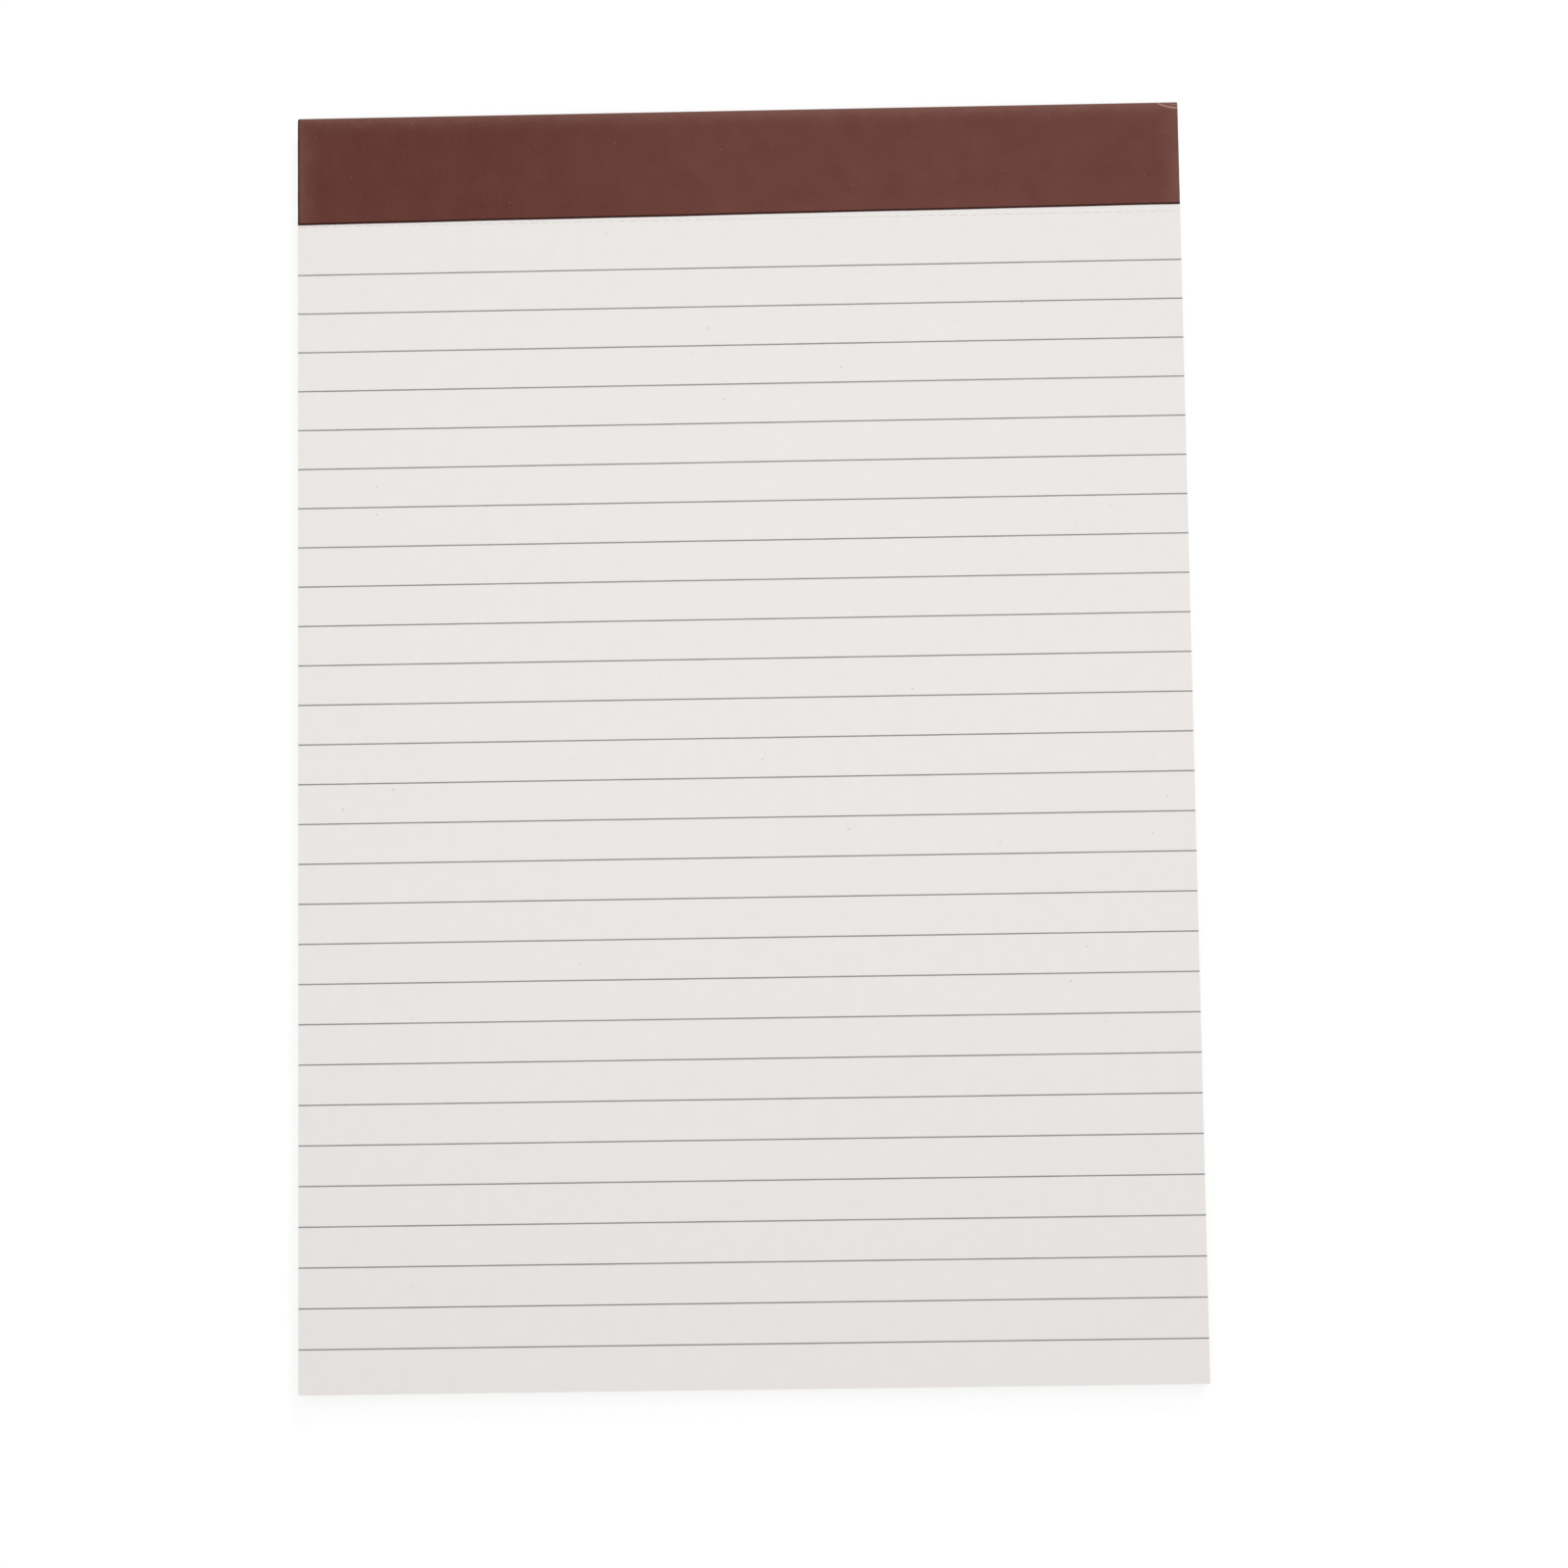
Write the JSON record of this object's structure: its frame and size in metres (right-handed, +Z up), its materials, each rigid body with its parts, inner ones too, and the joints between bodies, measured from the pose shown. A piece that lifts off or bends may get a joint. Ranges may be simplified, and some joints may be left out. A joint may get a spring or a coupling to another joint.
{
  "type": "legal pad",
  "caption": "Ruled writing pad: perforated sheets on a stiff board back, stitched near the head and bound there by a strip of dark red tape folded over front and back.",
  "frame": {"origin": "middle of the pad's underside: the middle of its width and of its length with the tape, on the surface that it lies on", "axes": "+X across the sheets to the writer's right, +Y along the pad to its taped head, +Z up out of the written face"},
  "size_m": [0.16, 0.23, 0.0062],
  "materials": {
    "writing_paper": "uncoated off-white paper, matt",
    "printing_ink": "thin grey printed ink, matt",
    "chipboard": "grey-brown recycled board, matt",
    "paper_tape": "dark red-brown coated paper tape, satin",
    "staple_wire": "bright galvanised wire"
  },
  "bodies": {
    "root": {"page_block": "writing_paper", "ruled_lines": "printing_ink", "backing_board": "chipboard", "binding_tape": "paper_tape", "staple_left": "staple_wire", "staple_right": "staple_wire"}
  },
  "joints": []
}
